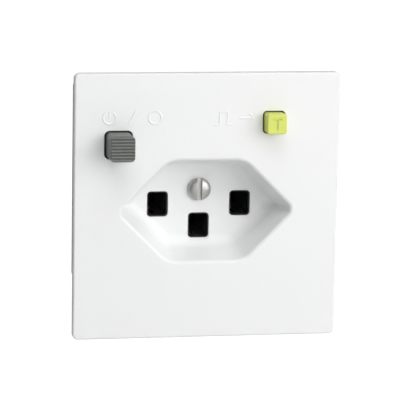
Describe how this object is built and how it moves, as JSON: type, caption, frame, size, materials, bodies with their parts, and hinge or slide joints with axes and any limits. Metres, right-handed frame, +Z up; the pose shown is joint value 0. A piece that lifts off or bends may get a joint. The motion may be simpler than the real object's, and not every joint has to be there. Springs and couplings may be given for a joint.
{
  "type": "gfci outlet",
  "caption": "Square white wall socket insert with a hexagonal plug recess, rectangular pin holes, a ribbed switch button and a lime test button.",
  "frame": {"origin": "centre of the plane in which the support frame's pads rest on the wall box's fixing plate, behind the middle of the square cover", "axes": "+Y points into the wall, so the front faces -Y; +X is to the right seen from the front; +Z is up"},
  "size_m": [0.06, 0.0451, 0.06],
  "materials": {
    "cover_white": "satin moulded plastic",
    "button_grey": "matt moulded plastic, ribbed face",
    "button_lime": "satin moulded plastic",
    "housing_black": "fine matt moulded plastic",
    "insulator_cream": "matt moulded plastic",
    "nickel": "nickel-plated, turned",
    "zinc": "zinc-plated sheet",
    "steel": "ground steel",
    "spring_steel": "bright spring steel",
    "brass": "turned brass",
    "copper_alloy": "stamped copper alloy",
    "enamelled_wire": "enamelled copper windings",
    "core_grey": "nanocrystalline ring core",
    "wire_brown": "PVC insulation",
    "wire_blue": "PVC insulation",
    "board_green": "solder-masked laminate",
    "epoxy_black": "moulded epoxy",
    "capacitor_sleeve": "shrunk sleeve",
    "varistor_blue": "dipped coating",
    "resistor_tan": "lacquered body"
  },
  "bodies": {
    "root": {"amplifier_chip": "epoxy_black", "capacitor": "capacitor_sleeve", "circuit_board": "board_green", "cover_plate": "cover_white", "cover_screw": "nickel", "earth_sleeve": "copper_alloy", "earth_strap": "copper_alloy", "earth_terminal": "zinc", "earth_terminal_screw": "nickel", "front_housing": "housing_black", "latch_pin": "steel", "latch_spring": "spring_steel", "left_retaining_clip": "spring_steel", "live_conductor": "wire_brown", "live_line_contact": "copper_alloy", "live_load_contact": "copper_alloy", "live_sleeve": "copper_alloy", "live_terminal": "zinc", "live_terminal_screw": "nickel", "lower_housing_screw": "nickel", "neutral_conductor": "wire_blue", "neutral_line_contact": "copper_alloy", "neutral_load_contact": "copper_alloy", "neutral_sleeve": "copper_alloy", "neutral_terminal": "zinc", "neutral_terminal_screw": "nickel", "on_off_spring": "spring_steel", "rear_housing": "housing_black", "right_retaining_clip": "spring_steel", "screw_insert": "brass", "secondary_winding": "enamelled_wire", "solenoid_bobbin": "insulator_cream", "solenoid_coil": "enamelled_wire", "solenoid_yoke": "zinc", "support_frame": "zinc", "test_resistor": "resistor_tan", "test_spring": "spring_steel", "thyristor": "epoxy_black", "transformer_core": "core_grey", "upper_housing_screw": "nickel", "varistor": "varistor_blue"},
    "switch_button": {"on_off_button": "button_grey"},
    "contact_carrier": {"contact_carrier": "insulator_cream", "live_bridge": "copper_alloy", "neutral_bridge": "copper_alloy"},
    "test_button": {"test_button": "button_lime"},
    "test_leaf": {"test_leaf": "copper_alloy"},
    "trip_plunger": {"trip_plunger": "steel"},
    "latch_lever": {"latch_lever": "insulator_cream"}
  },
  "joints": [
    {"name": "switch_press", "type": "slide", "parent": "root", "child": "switch_button", "axis": [0, 1, 0], "range_m": [0, 0.004], "stiffness_N_per_m": 400, "springref_m": -0.002, "deforming": ["on_off_spring"]},
    {"name": "carrier_slide", "type": "slide", "parent": "root", "child": "contact_carrier", "axis": [0, 1, 0], "range_m": [0, 0.004]},
    {"name": "test_press", "type": "slide", "parent": "root", "child": "test_button", "axis": [0, 1, 0], "range_m": [0, 0.0015], "stiffness_N_per_m": 600, "springref_m": -0.001, "deforming": ["test_spring"]},
    {"name": "leaf_bend", "type": "hinge", "parent": "root", "child": "test_leaf", "pos_m": [0.022, 0.0109, 0.0188], "axis": [0, 0, -1], "range_deg": [0, 12.5]},
    {"name": "plunger_trip", "type": "slide", "parent": "root", "child": "trip_plunger", "axis": [-1, 0, 0], "range_m": [0, 0.002], "stiffness_N_per_m": 300, "springref_m": -0.001},
    {"name": "latch_release", "type": "hinge", "parent": "root", "child": "latch_lever", "pos_m": [-0.0152, 0.0205, 0.0165], "axis": [0, 0, 1], "range_deg": [0, 21]}
  ],
  "couplings": [
    {"joint": "carrier_slide", "follows": "switch_press", "ratio": 1},
    {"joint": "leaf_bend", "follows": "test_press", "rad_per_m": 142.86},
    {"joint": "latch_release", "follows": "plunger_trip", "rad_per_m": 181.82}
  ]
}
